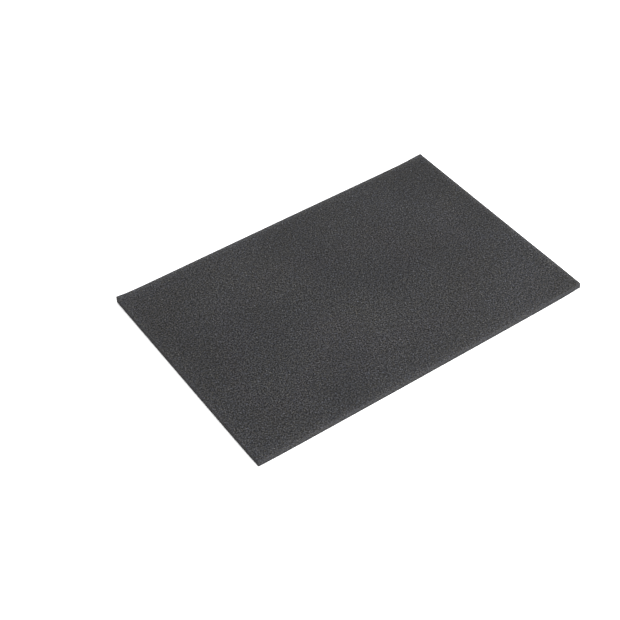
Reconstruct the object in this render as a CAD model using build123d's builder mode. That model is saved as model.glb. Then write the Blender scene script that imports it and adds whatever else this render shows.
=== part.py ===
from build123d import *

import os

# A protector pad: one plain sheet of soft foam, cut square through its whole thickness.
# The origin is the centre of the underside. +X runs along the length, +Z out of the upper face.

# Driving dimensions, in millimetres.
PAD_LENGTH = 300.0
PAD_WIDTH = 200.0
PAD_THICKNESS = 5.0

os.makedirs("parts", exist_ok=True)

# The pad is a single piece of one material, with four sharp corners and no holes.
with BuildPart() as foam_pad:
    with BuildSketch(Plane.XY):
        Rectangle(PAD_LENGTH, PAD_WIDTH)
    extrude(amount=PAD_THICKNESS)
foam_pad.part.label = "foam_pad"
export_step(foam_pad.part, "parts/foam_pad.step")
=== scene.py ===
import math

import bpy
import numpy as np
from mathutils import Matrix, Vector


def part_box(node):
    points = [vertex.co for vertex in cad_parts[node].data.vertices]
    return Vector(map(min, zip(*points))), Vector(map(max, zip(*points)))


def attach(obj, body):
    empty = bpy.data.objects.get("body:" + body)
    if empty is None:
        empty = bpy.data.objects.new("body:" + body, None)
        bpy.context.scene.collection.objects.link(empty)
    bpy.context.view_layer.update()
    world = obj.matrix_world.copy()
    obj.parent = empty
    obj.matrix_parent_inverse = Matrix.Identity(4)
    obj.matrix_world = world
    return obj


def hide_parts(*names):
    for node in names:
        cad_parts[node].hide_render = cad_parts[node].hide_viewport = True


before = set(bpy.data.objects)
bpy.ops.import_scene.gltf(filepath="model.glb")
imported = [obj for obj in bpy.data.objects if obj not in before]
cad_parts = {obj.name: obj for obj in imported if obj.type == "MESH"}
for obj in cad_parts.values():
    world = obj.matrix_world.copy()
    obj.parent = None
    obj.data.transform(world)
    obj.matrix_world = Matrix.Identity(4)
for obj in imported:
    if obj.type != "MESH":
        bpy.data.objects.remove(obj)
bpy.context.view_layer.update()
LOW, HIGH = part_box("foam_pad")

# All lengths are in metres. The pad is centred on x = 0 and y = 0, so HIGH also holds half its length and
# width. Its four cut sides are called its cuts. A cut is named by its axis, 0 for x or 1 for y, and the side
# of the pad that it is on, as in (0, -1), and a corner by the signs of its x and y.

# The mesh of the surface.
MESH_STEP = 0.00125  # spacing of its lines over the faces
EDGE_STEPS = 4  # rows round each edge
SIDE_STEPS = 8  # fewest rows between two edges, as up a cut
CUT_STEEPNESS = 0.5  # a facet whose normal rises or falls by less than this belongs to a cut

# The foam's form.
EDGE_RADIUS = 0.0005  # rounding of the upper edges, where the knife presses soft foam down
UNDER_RADIUS = 0.0001  # rounding of the lower edges, where the cut stays sharp
EDGE_ROLL = 0.00010  # how far the faces sink towards the cuts
EDGE_ROLL_REACH = 0.0022  # how far in from the cuts they sink
DENT_DEPTH = 0.00006  # depth of the unevenness of faces and cuts
FACE_DENTS = (0.045, 0.018, 0.007)  # lengths of the waves that make it on the faces
CUT_DENTS = (0.030, 0.009, 0.004)  # and on the cuts
WAVES_EACH = 5  # waves of each length
SEED = 7

# How far each corner of the hand-cut, handled sheet strays from a true one: along x, along y and up.
CORNER_DRIFT = {
    (-1, -1): (0.00032, 0.00030, 0.00008),
    (1, -1): (-0.00030, 0.00065, 0.00015),
    (1, 1): (-0.00008, 0.00155, 0.00012),
    (-1, 1): (-0.00012, 0.00010, 0.00062),
}
DRIFT_REACH = 0.009  # the drift is down to two thirds this far from its corner
TIP = (-1, 1)  # the corner whose upper face stands up
TIP_SWELL = 0.00088  # how much thicker the sheet is there
TIP_REACH = 0.0032  # the swelling is down to two thirds this far from that corner
CUT_BOW = {(1, -1): 0.00036, (1, 1): 0.00034, (0, 1): -0.00012}  # how far a cut bows outwards at its middle
BOW_FADE = 4  # the power by which a bow dies away from its cut to the pad's middle
END_TAPER = 0.0016  # share by which the sheet is too wide at its low-x end, and too narrow at the other
SIDE_TAPER = 0.0004  # share by which it is too long at its high-y side, and too short at the other

# The foam's grain.
CELL = 0.0004  # size of a foam cell
GRIT = 0.00045  # size of the roughness that overlies the cells
PORE = 0.0011  # spacing of the darker pores and paler walls
GRAIN_TURN = math.radians(22.5)  # the grain is laid at this angle to the sheet, so that it shows no rows
GRAIN_BEND = 0.002  # a point of the grain is shifted by up to this, so that its lines aren't straight
GRAIN_BEND_SIZE = 0.014  # size of the bends
PIT_SHARE = 0.06  # share of the cells that are open pits, darkened by painted shade
PIT_SHADE = 0.55  # how much painted shade darkens a pit, times speck_strength
GLINT_SHARE = 0.035  # share of the cells given a painted glint, a highlight on their walls
BLOTCH_SIZE = 0.009  # small patches of a slightly different shade
BLOTCH_CONTRAST = 0.14
PATCH_SIZE = 0.090  # broad ones
PATCH_CONTRAST = 0.75
DARKEST = 0.1  # the darkest that a spot gets, as a share of the foam's shade
BUMP_STRENGTH = 0.6
BUMP_HEIGHT = 0.00006

# The foam's colour.
FOAM_TINT = (0.985, 0.985, 1.055)  # charcoal that leans a little to blue
WARM_TINT = (0.6, 0.1, -1.4)  # what one unit of warmth adds to red, green and blue
CELL_WARMTH = 0.32  # spread of the cells' own warmth
COOLING = 0.20  # taken from it, so that the cells lie on both sides of the tint
HUE_DRIFT = 0.10  # spread of the warmth of broad areas
HUE_DRIFT_SIZE = 0.060
FOAM_ROUGHNESS = 0.92
FOAM_SPECULAR = 0.18

# Each look: its shade, how unlike each other its cells are, the contrast of its grit and of its pores, and
# how strongly its painted pit shade and painted glints show.
FACE_LOOK = dict(shade=0.0135, cell_spread=0.6, grit_contrast=0.6, pore_contrast=5.0, speck_strength=1.5)
# The cuts are the same foam as the faces: their paler shade is painted light, set for how bright the cuts
# come out.
CUT_LOOK = dict(shade=0.0153, cell_spread=0.5, grit_contrast=0.5, pore_contrast=3.2, speck_strength=0.8)

# The faces get a painted highlight along each cut, strongest along the two far cuts: by this share of their
# shade, and with this reach inwards.
EDGE_HIGHLIGHTS = {
    (0, -1): (0.34, 0.0042),
    (1, -1): (0.44, 0.0052),
    (0, 1): (2.00, 0.0018),
    (1, 1): (1.38, 0.0025),
}

# The camera: degrees, and metres from the pad's centre.
CAMERA_AZIMUTH = -33.57
CAMERA_ELEVATION = 44.91
CAMERA_ROLL = -1.83
CAMERA_DISTANCE = 1.0240
CAMERA_PAN = (-0.0307, -0.0104)  # metres to the right and up, as the camera sees them before it rolls
CAMERA_LENS_MM = 76.56
CAMERA_SENSOR_MM = 36.0

# The studio.
FLOOR_SIZE = 24.0
FLOOR_COLOUR = (0.86, 0.86, 0.86, 1.0)
WORLD_COLOUR = (1.0, 1.0, 1.0, 1.0)
WORLD_STRENGTH = 1.40
# Each round light: azimuth and elevation in degrees, distance from the pad and width in metres, and watts.
LIGHTS = {
    "key": (14.0, 19.0, 1.3, 0.8, 36.5),
    "top": (30.0, 80.0, 1.5, 1.2, 16.0),
    "rim": (140.0, 28.0, 1.4, 0.9, 4.5),
}


def graded(low, high):
    """Mesh lines from low to high, close together round the two edges and even between them."""
    edge = [EDGE_RADIUS * i / EDGE_STEPS for i in range(EDGE_STEPS)]
    count = max(SIDE_STEPS, round((high - low) / MESH_STEP))
    middle = np.linspace(low + EDGE_RADIUS, high - EDGE_RADIUS, count + 1)
    return np.concatenate([[low + e for e in edge], middle, [high - e for e in reversed(edge)]])


def box_surface(xs, ys, zs):
    """Points and quads of a closed box with these mesh lines, each quad wound outwards."""
    index, points, quads = {}, [], []

    def vertex(i, j, k):
        if (i, j, k) not in index:
            index[i, j, k] = len(points)
            points.append((xs[i], ys[j], zs[k]))
        return index[i, j, k]

    def face(rows, columns, corner, flipped):
        for a in range(rows):
            for b in range(columns):
                near = [vertex(*corner(a, b)), vertex(*corner(a + 1, b))]
                far = [vertex(*corner(a + 1, b + 1)), vertex(*corner(a, b + 1))]
                ring = near + far
                quads.append(ring[::-1] if flipped else ring)

    nx, ny, nz = len(xs) - 1, len(ys) - 1, len(zs) - 1
    face(nx, ny, lambda a, b: (a, b, nz), False)
    face(nx, ny, lambda a, b: (a, b, 0), True)
    face(ny, nz, lambda a, b: (nx, a, b), False)
    face(ny, nz, lambda a, b: (0, a, b), True)
    face(nz, nx, lambda a, b: (b, ny, a), False)
    face(nz, nx, lambda a, b: (b, 0, a), True)
    return np.array(points), quads


def share_up(sharp):
    """How far up the sheet each point is, from 0 at the underside to 1 at the upper face."""
    return (sharp[:, 2] - LOW[2]) / (HIGH[2] - LOW[2])


def rounded_box(sharp):
    """The points of a sharp box drawn in so that its edges are round, and the way outwards at each."""
    low, high = np.array(LOW), np.array(HIGH)
    radius = (UNDER_RADIUS + (EDGE_RADIUS - UNDER_RADIUS) * share_up(sharp))[:, None]
    core = np.clip(sharp, low + radius, high - radius)
    outward = sharp - core
    outward /= np.linalg.norm(outward, axis=1)[:, None]
    return core + outward * radius, outward


def dents(sharp, lengths, seed):
    """How deep the foam is dented at each point, up to DENT_DEPTH: a few seeded waves of each length."""
    draw = np.random.default_rng(seed)
    wave = np.zeros(len(sharp))
    for length in lengths:
        for _ in range(WAVES_EACH):
            way = draw.normal(size=3)
            way /= np.linalg.norm(way)
            wave += np.sin(sharp @ way * 2 * math.pi / length + draw.uniform(0, 2 * math.pi))
    return 0.5 * DENT_DEPTH * (1 - wave / np.abs(wave).max())


def sink_surface(points, outward, sharp):
    """Dents the faces and the cuts, and sinks both faces towards the cuts. It moves points inwards only."""
    inset = np.minimum(sharp - np.array(LOW), np.array(HIGH) - sharp)[:, :2].min(axis=1)
    roll = EDGE_ROLL * np.exp(-((inset / EDGE_ROLL_REACH) ** 2))
    points[:, 2] -= outward[:, 2] * (dents(sharp, FACE_DENTS, SEED) + roll)
    sideways = 1 - np.abs(outward[:, 2])
    points[:, :2] -= outward[:, :2] * (dents(sharp, CUT_DENTS, SEED + 1) * sideways)[:, None]


def near_corner(sharp, corner, reach):
    """1 at this corner of the sheet, two thirds at this reach from it, and nothing at a few times that."""
    away = np.hypot(sharp[:, 0] - HIGH[0] * corner[0], sharp[:, 1] - HIGH[1] * corner[1])
    return np.exp(1 - np.hypot(1, away / reach))


def stray(points, sharp):
    """Moves the corners and the cuts away from those of a true rectangular sheet."""
    for corner, drift in CORNER_DRIFT.items():
        points += np.array(drift) * near_corner(sharp, corner, DRIFT_REACH)[:, None]
    points[:, 2] += TIP_SWELL * share_up(sharp) * near_corner(sharp, TIP, TIP_REACH)
    for (axis, side), bow in CUT_BOW.items():
        along = sharp[:, 1 - axis] / HIGH[1 - axis]
        towards_cut = np.clip(side * sharp[:, axis] / HIGH[axis], 0, 1) ** BOW_FADE
        points[:, axis] += side * bow * (1 - along ** 2) * towards_cut
    points[:, 1] *= 1 - END_TAPER * sharp[:, 0] / HIGH[0]
    points[:, 0] *= 1 + SIDE_TAPER * sharp[:, 1] / HIGH[1]


def foam_mesh():
    """The pad's surface: a sheet with knife-cut sides and slightly uneven faces. Its cuts use material 1."""
    sharp, quads = box_surface(*(graded(LOW[i], HIGH[i]) for i in range(3)))
    points, outward = rounded_box(sharp)
    sink_surface(points, outward, sharp)
    stray(points, sharp)
    mesh = bpy.data.meshes.new("foam_sheet")
    mesh.from_pydata(points.tolist(), [], quads)
    mesh.shade_smooth()
    for polygon in mesh.polygons:
        polygon.material_index = int(abs(polygon.normal.z) < CUT_STEEPNESS)
    mesh.update()
    return mesh


def math_node(tree, operation, *values):
    """A Math node with these inputs, each a number or another node's output; returns its output."""
    node = tree.nodes.new("ShaderNodeMath")
    node.operation = operation
    for socket, value in zip(node.inputs, values):
        if isinstance(value, (int, float)):
            socket.default_value = value
        else:
            tree.links.new(value, socket)
    return node.outputs[0]


def noise(tree, place, size, detail):
    """A soft noise whose features are about this size; returns its outputs, whose values lie round 0.5."""
    node = tree.nodes.new("ShaderNodeTexNoise")
    node.inputs["Scale"].default_value = 1 / size
    node.inputs["Detail"].default_value = detail
    tree.links.new(place, node.inputs["Vector"])
    return node.outputs


def about_one(tree, value, contrast):
    """1 where value is 0.5, and above or below 1 by contrast times the rest."""
    return math_node(tree, "MULTIPLY_ADD", value, contrast, 1 - 0.5 * contrast)


def laid_flat(tree, spot, is_cut):
    """Where each spot lies in the flat grain: on the plan of a face, or on the cuts unrolled side by side."""
    axes = tree.nodes.new("ShaderNodeSeparateXYZ")
    tree.links.new(spot, axes.inputs["Vector"])
    x, y, z = axes.outputs
    plan = tree.nodes.new("ShaderNodeCombineXYZ")
    tree.links.new(math_node(tree, "ADD", x, y) if is_cut else x, plan.inputs["X"])
    tree.links.new(z if is_cut else y, plan.inputs["Y"])
    turned = tree.nodes.new("ShaderNodeVectorRotate")
    turned.rotation_type = "Z_AXIS"
    turned.inputs["Angle"].default_value = GRAIN_TURN
    tree.links.new(plan.outputs["Vector"], turned.inputs["Vector"])
    bent = tree.nodes.new("ShaderNodeVectorMath")
    bent.operation = "MULTIPLY_ADD"
    bent.inputs[1].default_value = (GRAIN_BEND, GRAIN_BEND, 0.0)
    tree.links.new(noise(tree, plan.outputs["Vector"], GRAIN_BEND_SIZE, 0.0)["Color"], bent.inputs[0])
    tree.links.new(turned.outputs["Vector"], bent.inputs[2])
    return bent.outputs["Vector"]


def painted_edge_highlight(tree, spot):
    """0 over the face, rising towards its four cuts, where a highlight is painted on."""
    axes = tree.nodes.new("ShaderNodeSeparateXYZ")
    tree.links.new(spot, axes.inputs["Vector"])
    most = 0.0
    for (axis, side), (paler, reach) in EDGE_HIGHLIGHTS.items():
        depth = math_node(tree, "MULTIPLY_ADD", axes.outputs[axis], side / reach, -HIGH[axis] / reach)
        fade = math_node(tree, "EXPONENT", math_node(tree, "MINIMUM", depth, 0.0))
        most = math_node(tree, "MAXIMUM", math_node(tree, "MULTIPLY", fade, paler), most)
    return most


def specks(tree, random, strength):
    """1 over most cells, less in the pits, where shade is painted, and more in the cells where glints are
    painted.
    """
    is_pit = math_node(tree, "LESS_THAN", random, PIT_SHARE)
    is_glint = math_node(tree, "GREATER_THAN", random, 1 - GLINT_SHARE)
    # painted shade in the pits and painted highlights on the glinting cells
    pit_shade = math_node(tree, "MULTIPLY_ADD", is_pit, -PIT_SHADE * strength, 1.0)
    return math_node(tree, "MULTIPLY_ADD", is_glint, strength, pit_shade)


def tinted(tree, value, place, random):
    """This shade in the foam's colour, each cell and each broad area a little warmer or cooler."""
    warmth = math_node(tree, "MULTIPLY_ADD", random, CELL_WARMTH, -COOLING)
    drift = noise(tree, place, HUE_DRIFT_SIZE, 1.0)["Fac"]
    warmth = math_node(tree, "MULTIPLY_ADD", drift, HUE_DRIFT, warmth)
    colour = tree.nodes.new("ShaderNodeCombineColor")
    for channel, tint, warm_tint in zip(colour.inputs, FOAM_TINT, WARM_TINT):
        amount = math_node(tree, "MULTIPLY_ADD", warmth, warm_tint, tint)
        tree.links.new(math_node(tree, "MULTIPLY", value, amount), channel)
    return colour.outputs["Color"]


def foam_material(name, is_cut, shade, cell_spread, grit_contrast, pore_contrast, speck_strength):
    """Matt foam cells of their own shade and hue, with pores, blotches, patches, painted pit shade and
    glints.
    """
    material = bpy.data.materials.new(name)
    material.use_nodes = True
    tree = material.node_tree
    tree.nodes.clear()
    shader = tree.nodes.new("ShaderNodeBsdfPrincipled")
    shader.inputs["Roughness"].default_value = FOAM_ROUGHNESS
    shader.inputs["Specular IOR Level"].default_value = FOAM_SPECULAR
    output = tree.nodes.new("ShaderNodeOutputMaterial")
    tree.links.new(shader.outputs["BSDF"], output.inputs["Surface"])

    spot = tree.nodes.new("ShaderNodeTexCoord").outputs["Object"]
    place = laid_flat(tree, spot, is_cut)
    cells = tree.nodes.new("ShaderNodeTexVoronoi")
    cells.inputs["Scale"].default_value = 1 / CELL
    tree.links.new(place, cells.inputs["Vector"])
    randoms = tree.nodes.new("ShaderNodeSeparateColor")
    tree.links.new(cells.outputs["Color"], randoms.inputs["Color"])
    grit = noise(tree, place, GRIT, 2.0)["Fac"]
    pores = noise(tree, place, PORE, 0.0)["Fac"]

    cell = math_node(tree, "POWER", randoms.outputs["Red"], cell_spread)
    cell = math_node(tree, "MULTIPLY", cell, 1 + cell_spread)
    value = math_node(tree, "MULTIPLY", cell, about_one(tree, grit, grit_contrast))
    pore = math_node(tree, "MULTIPLY_ADD", pores, pore_contrast, -0.5 * pore_contrast)
    value = math_node(tree, "MAXIMUM", math_node(tree, "ADD", value, pore), 0.0)
    # darkens the pits with painted shade and brightens the glinting cells with painted highlights
    value = math_node(tree, "MULTIPLY", value, specks(tree, randoms.outputs["Green"], speck_strength))
    for size, contrast in ((BLOTCH_SIZE, BLOTCH_CONTRAST), (PATCH_SIZE, PATCH_CONTRAST)):
        factor = about_one(tree, noise(tree, place, size, 1.0)["Fac"], contrast)
        value = math_node(tree, "MULTIPLY", value, factor)
    # the faces get a painted highlight along their cuts
    if not is_cut:
        value = math_node(tree, "ADD", value, painted_edge_highlight(tree, spot))
    value = math_node(tree, "MULTIPLY", math_node(tree, "MAXIMUM", value, DARKEST), shade)
    tree.links.new(tinted(tree, value, place, randoms.outputs["Blue"]), shader.inputs["Base Color"])

    bump = tree.nodes.new("ShaderNodeBump")
    bump.inputs["Strength"].default_value = BUMP_STRENGTH
    bump.inputs["Distance"].default_value = BUMP_HEIGHT
    tree.links.new(math_node(tree, "ADD", cells.outputs["Distance"], grit), bump.inputs["Height"])
    tree.links.new(bump.outputs["Normal"], shader.inputs["Normal"])
    return material


def make_pad():
    pad = bpy.data.objects.new("foam_sheet", foam_mesh())
    bpy.context.scene.collection.objects.link(pad)
    pad.data.materials.append(foam_material("foam_face", False, **FACE_LOOK))
    pad.data.materials.append(foam_material("foam_cut", True, **CUT_LOOK))
    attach(pad, "root")
    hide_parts("foam_pad")


def make_floor():
    half = FLOOR_SIZE / 2
    corners = [(-half, -half, 0), (half, -half, 0), (half, half, 0), (-half, half, 0)]
    mesh = bpy.data.meshes.new("floor")
    mesh.from_pydata(corners, [], [(0, 1, 2, 3)])
    floor = bpy.data.objects.new("floor", mesh)
    floor.location.z = LOW[2]
    bpy.context.scene.collection.objects.link(floor)
    material = bpy.data.materials.new("studio_floor")
    material.use_nodes = True
    shader = material.node_tree.nodes["Principled BSDF"]
    shader.inputs["Base Color"].default_value = FLOOR_COLOUR
    shader.inputs["Roughness"].default_value = 1.0
    shader.inputs["Specular IOR Level"].default_value = 0.0
    mesh.materials.append(material)


def direction(azimuth, elevation):
    """The unit vector from the pad towards something that stands at these angles, in degrees."""
    a, e = math.radians(azimuth), math.radians(elevation)
    return Vector((math.sin(a) * math.cos(e), -math.cos(a) * math.cos(e), math.sin(e)))


def make_light(name, azimuth, elevation, distance, width, watts):
    light = bpy.data.lights.new(name, "AREA")
    light.shape = "DISK"
    light.size = width
    light.energy = watts
    lamp = bpy.data.objects.new(name, light)
    back = direction(azimuth, elevation)
    lamp.location = back * distance
    lamp.rotation_euler = back.to_track_quat("Z", "Y").to_euler()
    bpy.context.scene.collection.objects.link(lamp)


def make_studio():
    world = bpy.data.worlds.new("studio")
    world.use_nodes = True
    background = world.node_tree.nodes["Background"]
    background.inputs["Color"].default_value = WORLD_COLOUR
    background.inputs["Strength"].default_value = WORLD_STRENGTH
    bpy.context.scene.world = world
    for name, light in LIGHTS.items():
        make_light(name, *light)
    bpy.context.scene.view_settings.view_transform = "Standard"


def make_camera():
    back = direction(CAMERA_AZIMUTH, CAMERA_ELEVATION)
    azimuth, roll = math.radians(CAMERA_AZIMUTH), math.radians(CAMERA_ROLL)
    right = Vector((math.cos(azimuth), math.sin(azimuth), 0.0))
    up = back.cross(right)
    rolled_right = math.cos(roll) * right + math.sin(roll) * up
    rolled_up = math.cos(roll) * up - math.sin(roll) * right
    data = bpy.data.cameras.new("camera")
    data.lens = CAMERA_LENS_MM
    data.sensor_width = CAMERA_SENSOR_MM
    camera = bpy.data.objects.new("camera", data)
    turn = Matrix((rolled_right, rolled_up, back)).transposed()
    place = back * CAMERA_DISTANCE + right * CAMERA_PAN[0] + up * CAMERA_PAN[1]
    camera.matrix_world = Matrix.Translation(place) @ turn.to_4x4()
    bpy.context.scene.collection.objects.link(camera)
    bpy.context.scene.camera = camera


make_camera()
make_pad()
make_floor()
make_studio()
